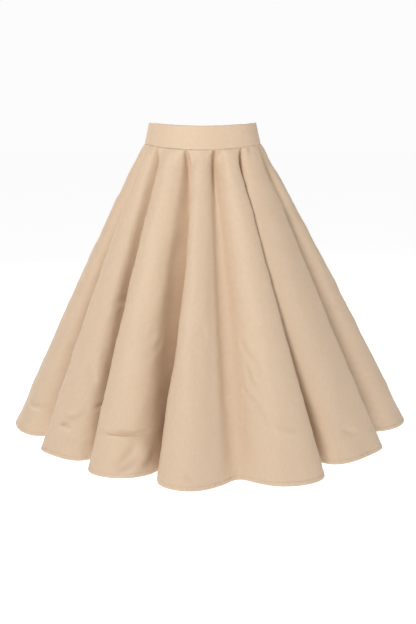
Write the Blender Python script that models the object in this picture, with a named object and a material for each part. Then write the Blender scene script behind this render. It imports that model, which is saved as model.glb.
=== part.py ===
"""Circle skirt: a fitted waistband, a full circle of cloth in three panels, and a concealed back zip.

Metres, +Z up. The origin is the centre of the waistband's top opening, and the front faces -Y.
Left and right are the wearer's, so left is +X. The skirt is filled out as if worn, and hollow.
"""
import math

import bmesh
import bpy
import numpy as np

# Waistband: half widths and half depths of its outer face, at its top edge and at the waist seam
WAIST_HALF_WIDTH = 0.1160
WAIST_HALF_DEPTH = 0.0880
SEAM_HALF_WIDTH = 0.1266
SEAM_HALF_DEPTH = 0.0985
BAND_HEIGHT = 0.0448
TOP_DIP = 0.0068  # the top edge and the waist seam hang this much lower at the centre front and back
SEAM_DIP = 0.0105
BAND_CLOTH = 0.0020  # two layers and their interfacing

# Skirt
HEM_LEVEL = -0.6811
SKIRT_CLOTH = 0.0012
HEM_CLOTH = 0.0019  # the cloth and its turned edge
HEM_TURN_SHARE = 0.012  # the turned edge's share of the skirt's length
HEM_THICKEN_SHARE = 0.0156  # the wall starts to thicken here, just above the turned edge
SKIRT_HEIGHT = -BAND_HEIGHT - HEM_LEVEL  # at the sides
SEAM_GAP = 0.0003
BULGE = 0.0095  # how far the skirt stands outside a straight cone just under the seam
BULGE_LEAN = 0.0015  # more of it on the wearer's right
BULGE_RISE = 0.05
HOLLOW_DEPTH = 0.028  # how much deeper the troughs of the upper skirt lie than on a straight cone
HOLLOW_SHARES = (0.40, 0.0, 0.45, 1.0, 1.0)  # of that depth, at a fold's rise, crest, fall and trough
HOLLOW_RISE = 0.030
HOLLOW_FADE = 0.50
SWAY_SCALE = 6.75  # a sway is at its full angle a third of the way down

# The large folds, going round from the wearer's right side by the front, in degrees from the centre front.
# Each fold rises to its crest and falls to the trough after it; a trough is a round turn of its width,
# and sways round the skirt on its way down.
FOLD_COLUMNS = (
    "seam_crest", "seam_trough", "rise_deg", "rise_radius", "crest_deg", "crest_radius",
    "fall_deg", "fall_radius", "trough_deg", "trough_radius", "trough_width", "sway_deg",
)
FOLD_ROWS = (
    (-96, -77, -98.5, 0.425, -89.5, 0.448, -71.5, 0.414, -67.5, 0.265, 9, 0.0),
    (-64, -49, -66.0, 0.408, -55.5, 0.384, -42.0, 0.364, -39.5, 0.242, 10, 0.0),
    (-31, -16, -42.5, 0.383, -29.0, 0.395, -15.0, 0.342, -9.8, 0.228, 10, 5.0),
    (-1, 12, -18.6, 0.372, -4.5, 0.412, 5.0, 0.382, 12.0, 0.350, 3, 0.0),
    (26, 40, 18.0, 0.393, 27.0, 0.426, 41.0, 0.424, 43.5, 0.232, 10, -10.5),
    (57, 75, 40.5, 0.396, 57.0, 0.411, 71.0, 0.451, 73.0, 0.270, 9, 0.0),
    (91, 106, 77.0, 0.428, 90.0, 0.486, 100.0, 0.462, 105.0, 0.265, 9, 1.0),
    (120, 135, 110.0, 0.430, 119.0, 0.452, 130.0, 0.420, 134.5, 0.245, 9, -2.0),
    (149, 164, 139.0, 0.405, 148.0, 0.422, 158.0, 0.398, 163.5, 0.252, 8, 2.5),
    (180, 196, 169.0, 0.400, 180.0, 0.422, 191.5, 0.405, 196.0, 0.248, 9, -1.5),
    (211, 226, 201.5, 0.398, 211.0, 0.418, 221.0, 0.404, 226.5, 0.245, 9, 2.0),
    (240, 252, 231.5, 0.412, 242.0, 0.438, 251.0, 0.405, 256.5, 0.265, 9, -1.0),
)
FOLDS = {name: np.array([row[k] for row in FOLD_ROWS], float) for k, name in enumerate(FOLD_COLUMNS)}
CONTROLS_PER_FOLD = 5
CONTROLS = CONTROLS_PER_FOLD * len(FOLD_ROWS)
SHOULDER_SHARE = 0.3  # at the seam, a fold's shoulders lie this share of the way from trough to crest
SEAM_TROUGH_WIDTH = 5.0

# The gathers under the waist seam: seam_deg, depth, width_deg, run (as a share of the skirt's length)
GATHER_ROWS = (
    (-84, 0.0016, 3.0, 0.07),
    (-69, 0.0026, 3.4, 0.10),
    (-58, 0.0014, 2.4, 0.05),
    (-49, 0.0020, 4.0, 0.16),
    (-38, 0.0014, 2.4, 0.05),
    (-28, 0.0016, 2.6, 0.06),
    (-16, 0.0030, 4.0, 0.20),
    (-9, 0.0024, 2.2, 0.06),
    (-4, 0.0014, 2.2, 0.05),
    (13, 0.0090, 6.5, 0.60),
    (19, 0.0020, 2.2, 0.05),
    (24, 0.0014, 2.2, 0.05),
    (40, 0.0026, 4.0, 0.16),
    (49, 0.0016, 2.4, 0.06),
    (58, 0.0014, 2.4, 0.05),
    (73, 0.0026, 3.6, 0.12),
    (84, 0.0016, 3.0, 0.06),
    (97, 0.0018, 3.0, 0.07),
    (112, 0.0016, 2.6, 0.06),
    (127, 0.0022, 3.2, 0.10),
    (141, 0.0016, 2.6, 0.06),
    (155, 0.0020, 3.0, 0.08),
    (205, 0.0020, 3.0, 0.08),
    (218, 0.0016, 2.6, 0.06),
    (233, 0.0022, 3.2, 0.10),
    (246, 0.0016, 2.6, 0.06),
    (261, 0.0018, 3.0, 0.07),
)
GATHER_START = 0.014

# Where the panels are sewn together, counted in controls from the first fold's rise
FRONT_FOLDS = 6
LEFT_BACK_FOLDS = 3
RIGHT_SIDE = 1
LEFT_SIDE = RIGHT_SIDE + CONTROLS_PER_FOLD * FRONT_FOLDS
CENTRE_BACK = LEFT_SIDE + CONTROLS_PER_FOLD * LEFT_BACK_FOLDS
RIGHT_SIDE_AGAIN = RIGHT_SIDE + CONTROLS

# Rows and columns of the walls; levels run from -1 at the top edge through 0 at the seam to 1 at the hem
SKIRT_COLUMNS_PER_CONTROL = 3.6
BAND_COLUMNS_PER_CONTROL = 1.6
SKIRT_LEVELS = (0.0, 0.012, 0.028, 0.05, 0.08, 0.12, 0.19, 0.30, 0.45, 0.62, 0.80, 0.93)
BAND_LEVELS = (-1.0, -0.5, 0.0)

# Small steps along and down the cloth, for its normals and its lengths
TURN_STEP = 0.01
LEVEL_STEP = 0.002
JUST_UNDER_SEAM = 1e-6

# Zip
ZIP_END_LEVEL = 0.225
ZIP_SKIRT_LEVELS = SKIRT_LEVELS[:7]  # the zip's strips bend where the wall that they lie on bends
TAPE_LEVELS = (-0.97, -0.5) + ZIP_SKIRT_LEVELS + (0.25,)
COIL_LEVELS = (-0.75, -0.5) + ZIP_SKIRT_LEVELS + (ZIP_END_LEVEL,)
TAPE_COLUMNS = 4
COIL_COLUMNS = 2
TAPE_NEAR = 0.0018  # from the centre back to a tape's near and far edge
TAPE_FAR = 0.0120
TAPE_CLOTH = 0.0006
COIL_HALF_WIDTH = 0.0015
COIL_THICKNESS = 0.0015
STOP_HEIGHT = 0.0040
STOP_THICKNESS = 0.0020
NOTCH_WIDTH = 0.0030  # how far the band's edges part at the top, round the slider's neck
NOTCH_LEVEL = -0.70

# Slider: a plate outside the band and one inside, joined by a neck, with a bridge that holds the tab
SLIDER_LENGTH = 0.0090
SLIDER_TOP = -0.0012
SLIDER_NECK_WIDTH = 0.0012
SLIDER_NECK_LENGTH = 0.0054
SLIDER_PLATE_THICKNESS = 0.0008
SLIDER_OUTER_WIDTH = 0.0044
SLIDER_INNER_WIDTH = 0.0062
BRIDGE_WIDTH = 0.0016
BRIDGE_LENGTH = 0.0050  # short enough for its corners to stay inside the tab's eye as the tab turns
BRIDGE_CLEARANCE = 0.0016
BRIDGE_THICKNESS = 0.0007
TAB_THICKNESS = 0.0008
TAB_EYE_WIDTH = 0.0026
TAB_EYE_LENGTH = 0.0028
TAB_BAR = 0.0009

# The tab's outline: how far below its hinge, and its half width there
TAB_ROWS = (
    (-TAB_BAR / 2, 0.00230),
    (TAB_BAR / 2 + TAB_EYE_LENGTH, 0.00230),
    (0.01260, 0.00193),
    (0.01785, 0.00310),
    (0.01995, 0.00260),
    (0.02100, 0.00124),
)

# The tab's hinge, from the top edge at the centre back: down the band, and out from it
HINGE_DOWN = -SLIDER_TOP + SLIDER_LENGTH / 2
HINGE_OUT = SEAM_GAP + SLIDER_PLATE_THICKNESS + BRIDGE_CLEARANCE / 2

CLOTH_COLOUR = (0.66, 0.52, 0.38)
CLOTH_ROUGHNESS = 0.75
TAPE_COLOUR = (0.58, 0.45, 0.32)
TAPE_ROUGHNESS = 0.8
METAL_COLOUR = (0.60, 0.46, 0.32)
METAL_ROUGHNESS = 0.4


def clear_scene():
    for item in list(bpy.data.objects):
        bpy.data.objects.remove(item)


def material(name, colour, roughness, metallic=0.0):
    made = bpy.data.materials.new(name)
    made.use_nodes = True
    shader = made.node_tree.nodes["Principled BSDF"]
    shader.inputs["Base Color"].default_value = (*colour, 1.0)
    shader.inputs["Roughness"].default_value = roughness
    shader.inputs["Metallic"].default_value = metallic
    return made


def closed_spline(controls, turns):
    """Even cubic B-spline round a closed row of controls; turns count along them."""
    base = np.floor(turns).astype(int)
    t = (turns - base)[..., None]
    before, here, ahead, beyond = (controls[(base + step) % len(controls)] for step in (-1, 0, 1, 2))
    return (
        (1 - t) ** 3 * before
        + (3 * t ** 3 - 6 * t ** 2 + 4) * here
        + (-3 * t ** 3 + 3 * t ** 2 + 3 * t + 1) * ahead
        + t ** 3 * beyond
    ) / 6


def hem_controls():
    """The hem's plan: rise, crest, fall and the two sides of the trough for each fold."""
    half_trough = FOLDS["trough_width"] / 2
    degrees = np.stack([
        FOLDS["rise_deg"], FOLDS["crest_deg"], FOLDS["fall_deg"],
        FOLDS["trough_deg"] - half_trough, FOLDS["trough_deg"] + half_trough,
    ], axis=1).ravel()
    radii = np.stack([
        FOLDS["rise_radius"], FOLDS["crest_radius"], FOLDS["fall_radius"],
        FOLDS["trough_radius"], FOLDS["trough_radius"],
    ], axis=1).ravel()
    angles = np.radians(degrees)
    return np.stack([radii * np.sin(angles), -radii * np.cos(angles)], axis=1)


def seam_controls():
    """Where each control of the hem starts at the seam, in degrees beyond an even spacing."""
    crest = FOLDS["seam_crest"]
    trough = FOLDS["seam_trough"]
    before = np.roll(trough, 1)
    before[0] -= 360.0
    half_trough = SEAM_TROUGH_WIDTH / 2
    degrees = np.stack([
        before + SHOULDER_SHARE * (crest - before), crest, trough - SHOULDER_SHARE * (trough - crest),
        trough - half_trough, trough + half_trough,
    ], axis=1).ravel()
    return (degrees - 360.0 * np.arange(CONTROLS) / CONTROLS)[:, None]


def sway_controls():
    """How far each control swings round the skirt, in degrees: a trough and the rise after it."""
    sway = FOLDS["sway_deg"]
    still = np.zeros_like(sway)
    return np.stack([np.roll(sway, 1), still, still, sway, sway], axis=1).ravel()[:, None]


def hollow_controls():
    """How hollow the upper skirt is at each control, from its crests to its troughs."""
    return np.tile(HOLLOW_SHARES, len(FOLD_ROWS))[:, None]


HEM_PLAN = hem_controls()
SEAM_PLAN = seam_controls()
SWAY_PLAN = sway_controls()
HOLLOW_PLAN = hollow_controls()


def seam_angles(turns):
    return np.radians(closed_spline(SEAM_PLAN, turns)[..., 0] + 360.0 * turns / CONTROLS)


def ellipse(angles, half_width, half_depth):
    return np.stack([half_width * np.sin(angles), -half_depth * np.cos(angles)], axis=-1)


def top_height(angles):
    return -TOP_DIP * np.cos(angles) ** 2


def seam_height(angles):
    return -BAND_HEIGHT - SEAM_DIP * np.cos(angles) ** 2


def gathers(angles, drop):
    """Short tucks just under the seam, as depths below the smooth cloth."""
    degrees = np.degrees(angles)
    depth = np.zeros_like(degrees)
    for seam_deg, tuck, width_deg, run in GATHER_ROWS:
        away = (degrees - seam_deg + 180.0) % 360.0 - 180.0
        depth += tuck * np.exp(-(away / width_deg) ** 2 - (drop / run) ** 2)
    return depth * (1 - np.exp(-(drop / GATHER_START) ** 2))


def outer_points(turns, levels):
    """The garment's outer face: the band above level 0, and the folded skirt under it."""
    turns, levels = np.broadcast_arrays(np.asarray(turns, float), np.asarray(levels, float))
    angles = seam_angles(turns)
    drop = np.clip(levels, 0.0, None)
    rise = np.clip(-levels, 0.0, None)
    seam = ellipse(angles, SEAM_HALF_WIDTH, SEAM_HALF_DEPTH)
    waist = ellipse(angles, WAIST_HALF_WIDTH, WAIST_HALF_DEPTH)
    hem = closed_spline(HEM_PLAN, turns)
    outward = seam / np.linalg.norm(seam, axis=-1, keepdims=True)
    bulge = (BULGE - BULGE_LEAN * np.sin(angles)) * (1 - np.exp(-drop / BULGE_RISE)) * (1 - drop)
    come = 1 - np.exp(-(drop / HOLLOW_RISE) ** 2)
    go = np.exp(-drop / HOLLOW_FADE) * (1 - drop)
    hollow = HOLLOW_DEPTH * closed_spline(HOLLOW_PLAN, turns)[..., 0] * come * go
    swell = np.where(levels > 0, bulge - hollow - gathers(angles, drop), 0.0)
    plan = seam + (waist - seam) * rise[..., None] + (hem - seam) * drop[..., None]
    plan = plan + outward * swell[..., None]
    sway = np.radians(closed_spline(SWAY_PLAN, turns)[..., 0]) * SWAY_SCALE * drop * (1 - drop) ** 2
    plan = np.stack([
        plan[..., 0] * np.cos(sway) - plan[..., 1] * np.sin(sway),
        plan[..., 0] * np.sin(sway) + plan[..., 1] * np.cos(sway),
    ], axis=-1)
    seam_z = seam_height(angles)
    height = seam_z + (top_height(angles) - seam_z) * rise + (HEM_LEVEL - seam_z) * drop
    return np.concatenate([plan, height[..., None]], axis=-1)


def outer_normals(turns, levels):
    """Unit normals of the outer face, pointing outwards; no difference is taken across the seam."""
    levels = np.asarray(levels, float)
    above = levels - LEVEL_STEP
    below = levels + LEVEL_STEP
    low = np.where(levels > 0, np.maximum(above, JUST_UNDER_SEAM), above)
    high = np.where(levels > 0, below, np.minimum(below, 0.0))
    along = outer_points(turns + TURN_STEP, levels) - outer_points(turns - TURN_STEP, levels)
    down = outer_points(turns, high) - outer_points(turns, low)
    normal = np.cross(down, along)
    return normal / np.linalg.norm(normal, axis=-1, keepdims=True)


def shifted_turns(turn, levels, distance):
    """The turns that lie a distance along the cloth from one turn, at each level."""
    ahead = outer_points(turn + TURN_STEP, levels)
    behind = outer_points(turn - TURN_STEP, levels)
    speed = np.linalg.norm(ahead - behind, axis=-1) / (2 * TURN_STEP)
    return turn + distance / speed


def wall(name, turns, levels, outer_depth, inner_depth, cloth):
    """A closed wall between two depths under the outer face; turns has a row for each level."""
    turns, levels, outer_depth, inner_depth = np.broadcast_arrays(
        turns, levels[:, None], outer_depth[:, None], inner_depth[:, None])
    points = outer_points(turns, levels)
    normals = outer_normals(turns, levels)
    sheets = [points - normals * depth[..., None] for depth in (outer_depth, inner_depth)]
    mesh = bmesh.new()
    outer, inner = ([[mesh.verts.new(point) for point in row] for row in sheet] for sheet in sheets)
    rows, columns = turns.shape
    for i in range(rows - 1):
        for j in range(columns - 1):
            mesh.faces.new((outer[i][j], outer[i + 1][j], outer[i + 1][j + 1], outer[i][j + 1]))
            mesh.faces.new((inner[i][j], inner[i][j + 1], inner[i + 1][j + 1], inner[i + 1][j]))
        mesh.faces.new((outer[i][0], inner[i][0], inner[i + 1][0], outer[i + 1][0]))
        mesh.faces.new((outer[i][-1], outer[i + 1][-1], inner[i + 1][-1], inner[i][-1]))
    for j in range(columns - 1):
        mesh.faces.new((outer[0][j], outer[0][j + 1], inner[0][j + 1], inner[0][j]))
        mesh.faces.new((outer[-1][j], inner[-1][j], inner[-1][j + 1], outer[-1][j + 1]))
    return finish(name, mesh, cloth, smooth=True)


def finish(name, mesh, made_of, smooth=False):
    bmesh.ops.recalc_face_normals(mesh, faces=mesh.faces)
    data = bpy.data.meshes.new(name)
    mesh.to_mesh(data)
    mesh.free()
    data.materials.append(made_of)
    if smooth:
        data.polygons.foreach_set("use_smooth", [True] * len(data.polygons))
    item = bpy.data.objects.new(name, data)
    bpy.context.scene.collection.objects.link(item)
    return item


def panel_turns(first, last, levels, columns, first_gap, last_gap):
    """Turns of a panel's columns at each level, with its edges moved in from the seams."""
    start = shifted_turns(first, levels, first_gap)
    end = shifted_turns(last, levels, -last_gap)
    share = np.linspace(0.0, 1.0, columns)
    return start[:, None] + (end - start)[:, None] * share


def skirt_panel(name, first, last, cloth):
    hem_rows = (1 - HEM_THICKEN_SHARE, 1 - HEM_TURN_SHARE, 1.0)
    levels = np.array(SKIRT_LEVELS + hem_rows)
    levels[0] = SEAM_GAP / SKIRT_HEIGHT
    thickness = np.where(levels >= 1 - HEM_TURN_SHARE, HEM_CLOTH, SKIRT_CLOTH)
    columns = int(round((last - first) * SKIRT_COLUMNS_PER_CONTROL)) + 1
    turns = panel_turns(first, last, levels, columns, SEAM_GAP / 2, SEAM_GAP / 2)
    return wall(name, turns, levels, np.zeros_like(levels), thickness, cloth)


def band_piece(name, first, last, cloth, first_notch=False, last_notch=False):
    """A piece of the waistband; an edge at the zip opens into a notch round the slider's neck."""
    levels = np.array(sorted(set(BAND_LEVELS + ((NOTCH_LEVEL,) if first_notch or last_notch else ()))))
    part = np.clip((NOTCH_LEVEL - levels) / (1 + NOTCH_LEVEL), 0.0, 1.0)
    notch = SEAM_GAP / 2 + (NOTCH_WIDTH - SEAM_GAP) / 2 * part
    plain = np.full_like(levels, SEAM_GAP / 2)
    columns = int(round((last - first) * BAND_COLUMNS_PER_CONTROL)) + 1
    turns = panel_turns(first, last, levels, columns,
                        notch if first_notch else plain, notch if last_notch else plain)
    return wall(name, turns, levels, np.zeros_like(levels), np.full_like(levels, BAND_CLOTH), cloth)


def under_wall(levels):
    """The depth just inside the wall, which is thicker in the band than in the skirt."""
    return np.where(levels > 0, SKIRT_CLOTH, BAND_CLOTH) + SEAM_GAP


def zip_strip(name, levels, near, far, thickness, columns, made_of):
    """A strip that follows the inside of the centre back."""
    levels = np.array(levels)
    start = shifted_turns(CENTRE_BACK, levels, near)
    end = shifted_turns(CENTRE_BACK, levels, far)
    turns = start[:, None] + (end - start)[:, None] * np.linspace(0.0, 1.0, columns)
    depth = under_wall(levels)
    return wall(name, turns, levels, depth, depth + thickness, made_of)


def box(mesh, low, high):
    """Adds a box between two corners to a mesh."""
    made = bmesh.ops.create_cube(mesh, size=1.0)
    for vert in made["verts"]:
        vert.co = [l if c < 0 else h for c, l, h in zip(vert.co, low, high)]


def box_object(name, low, high, made_of):
    mesh = bmesh.new()
    box(mesh, low, high)
    return finish(name, mesh, made_of)


def combine(item, tool, operation):
    """Applies a Boolean with a tool, which is then taken away."""
    change = item.modifiers.new("change", "BOOLEAN")
    change.operation = operation
    change.solver = "EXACT"
    change.object = tool
    graph = bpy.context.evaluated_depsgraph_get()
    made = bpy.data.meshes.new_from_object(item.evaluated_get(graph))
    item.modifiers.clear()
    item.data = made
    bpy.data.objects.remove(tool)


def place_at_hinge(item):
    """Puts an object made in the band's flat (X across, Y out, Z up) on its slope, at the tab's hinge."""
    top = np.array([0.0, WAIST_HALF_DEPTH, -TOP_DIP])
    seam_low = np.array([0.0, SEAM_HALF_DEPTH, -BAND_HEIGHT - SEAM_DIP])
    down = (seam_low - top) / np.linalg.norm(seam_low - top)
    out = np.cross((1.0, 0.0, 0.0), down)
    item.location = top + down * HINGE_DOWN + out * HINGE_OUT
    item.rotation_euler = (math.atan2(down[1], -down[2]), 0.0, 0.0)


def slider(metal):
    """Two plates, a neck and a bridge in one piece; local origin on the tab's axis."""
    plate_out = SEAM_GAP - HINGE_OUT
    inside = -BAND_CLOTH - SEAM_GAP - TAPE_CLOTH - SEAM_GAP - HINGE_OUT
    half = SLIDER_LENGTH / 2
    item = box_object("zip_slider", (-SLIDER_OUTER_WIDTH / 2, plate_out, -half),
                      (SLIDER_OUTER_WIDTH / 2, plate_out + SLIDER_PLATE_THICKNESS, half), metal)
    solids = [
        ((-SLIDER_NECK_WIDTH / 2, inside - SLIDER_PLATE_THICKNESS / 2, half - SLIDER_NECK_LENGTH),
         (SLIDER_NECK_WIDTH / 2, plate_out + SLIDER_PLATE_THICKNESS / 2, half)),
        ((-SLIDER_INNER_WIDTH / 2, inside - SLIDER_PLATE_THICKNESS, -half),
         (SLIDER_INNER_WIDTH / 2, inside, half)),
    ]
    foot = plate_out + SLIDER_PLATE_THICKNESS / 2
    bridge_out = BRIDGE_CLEARANCE / 2 + BRIDGE_THICKNESS
    bridge_half = BRIDGE_LENGTH / 2
    for end in (-1, 1):
        z_pair = sorted((end * bridge_half, end * (bridge_half - BRIDGE_THICKNESS)))
        solids.append(((-BRIDGE_WIDTH / 2, foot, z_pair[0]), (BRIDGE_WIDTH / 2, bridge_out, z_pair[1])))
    solids.append(((-BRIDGE_WIDTH / 2, BRIDGE_CLEARANCE / 2, -bridge_half),
                   (BRIDGE_WIDTH / 2, bridge_out, bridge_half)))
    for low, high in solids:
        combine(item, box_object("zip_slider_tool", low, high, metal), "UNION")
    place_at_hinge(item)


def pull_tab(metal):
    """A flat tab with a square eye; its bar passes under the slider's bridge, on the joint's axis."""
    outline = [(half, -below) for below, half in TAB_ROWS]
    outline += [(-half, -below) for below, half in reversed(TAB_ROWS)]
    mesh = bmesh.new()
    face = mesh.faces.new([mesh.verts.new((x, -TAB_THICKNESS / 2, z)) for x, z in outline])
    made = bmesh.ops.extrude_face_region(mesh, geom=[face])
    moved = [part for part in made["geom"] if isinstance(part, bmesh.types.BMVert)]
    bmesh.ops.translate(mesh, verts=moved, vec=(0.0, TAB_THICKNESS, 0.0))
    item = finish("zip_pull_tab", mesh, metal)
    eye = box_object("zip_pull_tab_tool",
                     (-TAB_EYE_WIDTH / 2, -TAB_THICKNESS, -TAB_BAR / 2 - TAB_EYE_LENGTH),
                     (TAB_EYE_WIDTH / 2, TAB_THICKNESS, -TAB_BAR / 2), metal)
    combine(item, eye, "DIFFERENCE")
    place_at_hinge(item)


def bottom_stop(metal):
    """The clip that ends the zip, just under its coil."""
    slant = np.linalg.norm(outer_points(CENTRE_BACK, 1.0) - outer_points(CENTRE_BACK, 0.0))
    start = ZIP_END_LEVEL + SEAM_GAP / slant
    end = start + STOP_HEIGHT / slant
    zip_strip("zip_bottom_stop", (start, end), -COIL_HALF_WIDTH, COIL_HALF_WIDTH,
              STOP_THICKNESS, COIL_COLUMNS, metal)


def main():
    clear_scene()
    cloth = material("skirt_cloth", CLOTH_COLOUR, CLOTH_ROUGHNESS)
    tape = material("zip_tape_cloth", TAPE_COLOUR, TAPE_ROUGHNESS)
    metal = material("painted_metal", METAL_COLOUR, METAL_ROUGHNESS)
    band_piece("waistband_front", RIGHT_SIDE, LEFT_SIDE, cloth)
    band_piece("waistband_back_left", LEFT_SIDE, CENTRE_BACK, cloth, last_notch=True)
    band_piece("waistband_back_right", CENTRE_BACK, RIGHT_SIDE_AGAIN, cloth, first_notch=True)
    skirt_panel("skirt_front", RIGHT_SIDE, LEFT_SIDE, cloth)
    skirt_panel("skirt_back_left", LEFT_SIDE, CENTRE_BACK, cloth)
    skirt_panel("skirt_back_right", CENTRE_BACK, RIGHT_SIDE_AGAIN, cloth)
    zip_strip("zip_tape_left", TAPE_LEVELS, -TAPE_FAR, -TAPE_NEAR, TAPE_CLOTH, TAPE_COLUMNS, tape)
    zip_strip("zip_tape_right", TAPE_LEVELS, TAPE_NEAR, TAPE_FAR, TAPE_CLOTH, TAPE_COLUMNS, tape)
    zip_strip("zip_coil", COIL_LEVELS, -COIL_HALF_WIDTH, COIL_HALF_WIDTH, COIL_THICKNESS,
              COIL_COLUMNS, tape)
    bottom_stop(metal)
    slider(metal)
    pull_tab(metal)


main()
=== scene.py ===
"""Circle skirt: the looks of its cloth, sewing and zip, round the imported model.

Metres, +Z up; the front faces -Y and the wearer's left is +X. The form of the cloth is the same as in the
part's source, on a finer grid, with a gentler start of the troughs under the waist seam. Its creases,
ripples, tucks and puckers are added on that form.
"""
import math

import bmesh
import bpy
import numpy as np
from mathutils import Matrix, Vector


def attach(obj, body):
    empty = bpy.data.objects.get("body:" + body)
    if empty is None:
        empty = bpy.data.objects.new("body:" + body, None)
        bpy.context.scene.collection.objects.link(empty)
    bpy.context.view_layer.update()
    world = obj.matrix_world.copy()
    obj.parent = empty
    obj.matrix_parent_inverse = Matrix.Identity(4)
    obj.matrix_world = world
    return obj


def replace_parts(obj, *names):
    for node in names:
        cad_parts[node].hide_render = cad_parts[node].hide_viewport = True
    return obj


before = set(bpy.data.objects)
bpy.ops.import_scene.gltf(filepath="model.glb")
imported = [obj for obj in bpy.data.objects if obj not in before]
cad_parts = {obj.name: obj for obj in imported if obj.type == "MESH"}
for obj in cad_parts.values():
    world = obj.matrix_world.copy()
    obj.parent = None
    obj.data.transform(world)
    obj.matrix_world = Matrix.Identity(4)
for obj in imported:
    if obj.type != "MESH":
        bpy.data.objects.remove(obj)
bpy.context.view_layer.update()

# Waistband and skirt, as in the part's source
WAIST_HALF_WIDTH = 0.1160
WAIST_HALF_DEPTH = 0.0880
SEAM_HALF_WIDTH = 0.1266
SEAM_HALF_DEPTH = 0.0985
BAND_HEIGHT = 0.0448
TOP_DIP = 0.0068
SEAM_DIP = 0.0105
BAND_CLOTH = 0.0020
HEM_LEVEL = -0.6811
SKIRT_CLOTH = 0.0012
HEM_CLOTH = 0.0019
HEM_TURN_SHARE = 0.012
SEAM_GAP = 0.0003
HALF_GAP = SEAM_GAP / 2
BULGE = 0.0095
BULGE_LEAN = 0.0015
BULGE_RISE = 0.05
HOLLOW_DEPTH = 0.028
HOLLOW_SHARES = (0.40, 0.0, 0.45, 1.0, 1.0)
HOLLOW_RISE = 0.044  # softer than the solid's 0.030, as the tucks start the troughs here
HOLLOW_FADE = 0.50
SWAY_SCALE = 6.75  # a sway is at its full angle a third of the way down

# The large folds, from the wearer's right side round by the front, in degrees from the centre front
FOLD_COLUMNS = (
    "seam_crest", "seam_trough", "rise_deg", "rise_radius", "crest_deg", "crest_radius",
    "fall_deg", "fall_radius", "trough_deg", "trough_radius", "trough_width", "sway_deg",
)
FOLD_ROWS = (
    (-96, -77, -98.5, 0.425, -89.5, 0.448, -71.5, 0.414, -67.5, 0.265, 9, 0.0),
    (-64, -49, -66.0, 0.408, -55.5, 0.384, -42.0, 0.364, -39.5, 0.242, 10, 0.0),
    (-31, -16, -42.5, 0.383, -29.0, 0.395, -15.0, 0.342, -9.8, 0.228, 10, 5.0),
    (-1, 12, -18.6, 0.372, -4.5, 0.412, 5.0, 0.382, 12.0, 0.350, 3, 0.0),
    (26, 40, 18.0, 0.393, 27.0, 0.426, 41.0, 0.424, 43.5, 0.232, 10, -10.5),
    (57, 75, 40.5, 0.396, 57.0, 0.411, 71.0, 0.451, 73.0, 0.270, 9, 0.0),
    (91, 106, 77.0, 0.428, 90.0, 0.486, 100.0, 0.462, 105.0, 0.265, 9, 1.0),
    (120, 135, 110.0, 0.430, 119.0, 0.452, 130.0, 0.420, 134.5, 0.245, 9, -2.0),
    (149, 164, 139.0, 0.405, 148.0, 0.422, 158.0, 0.398, 163.5, 0.252, 8, 2.5),
    (180, 196, 169.0, 0.400, 180.0, 0.422, 191.5, 0.405, 196.0, 0.248, 9, -1.5),
    (211, 226, 201.5, 0.398, 211.0, 0.418, 221.0, 0.404, 226.5, 0.245, 9, 2.0),
    (240, 252, 231.5, 0.412, 242.0, 0.438, 251.0, 0.405, 256.5, 0.265, 9, -1.0),
)
FOLDS = {name: np.array([row[k] for row in FOLD_ROWS], float) for k, name in enumerate(FOLD_COLUMNS)}
CONTROLS_PER_FOLD = 5
CONTROLS = CONTROLS_PER_FOLD * len(FOLD_ROWS)
SHOULDER_SHARE = 0.3
SEAM_TROUGH_WIDTH = 5.0

# The gathers under the waist seam: seam_deg, depth, width_deg, run (as a share of the skirt's length)
GATHER_ROWS = (
    (-84, 0.0016, 3.0, 0.07),
    (-69, 0.0026, 3.4, 0.10),
    (-58, 0.0014, 2.4, 0.05),
    (-49, 0.0020, 4.0, 0.16),
    (-38, 0.0014, 2.4, 0.05),
    (-28, 0.0016, 2.6, 0.06),
    (-16, 0.0030, 4.0, 0.20),
    (-9, 0.0024, 2.2, 0.06),
    (-4, 0.0014, 2.2, 0.05),
    (13, 0.0090, 6.5, 0.60),
    (19, 0.0020, 2.2, 0.05),
    (24, 0.0014, 2.2, 0.05),
    (40, 0.0026, 4.0, 0.16),
    (49, 0.0016, 2.4, 0.06),
    (58, 0.0014, 2.4, 0.05),
    (73, 0.0026, 3.6, 0.12),
    (84, 0.0016, 3.0, 0.06),
    (97, 0.0018, 3.0, 0.07),
    (112, 0.0016, 2.6, 0.06),
    (127, 0.0022, 3.2, 0.10),
    (141, 0.0016, 2.6, 0.06),
    (155, 0.0020, 3.0, 0.08),
    (205, 0.0020, 3.0, 0.08),
    (218, 0.0016, 2.6, 0.06),
    (233, 0.0022, 3.2, 0.10),
    (246, 0.0016, 2.6, 0.06),
    (261, 0.0018, 3.0, 0.07),
)
GATHER_START = 0.014

# Where the panels are sewn together, counted in controls from the first fold's rise
FRONT_FOLDS = 6
LEFT_BACK_FOLDS = 3
RIGHT_SIDE = 1
LEFT_SIDE = RIGHT_SIDE + CONTROLS_PER_FOLD * FRONT_FOLDS
CENTRE_BACK = LEFT_SIDE + CONTROLS_PER_FOLD * LEFT_BACK_FOLDS
RIGHT_SIDE_AGAIN = RIGHT_SIDE + CONTROLS

# The flat cut: a full circle with a round hole for the waist seam
CUT_INNER_RADIUS = 0.113
CUT_LENGTH = 0.677

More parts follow.
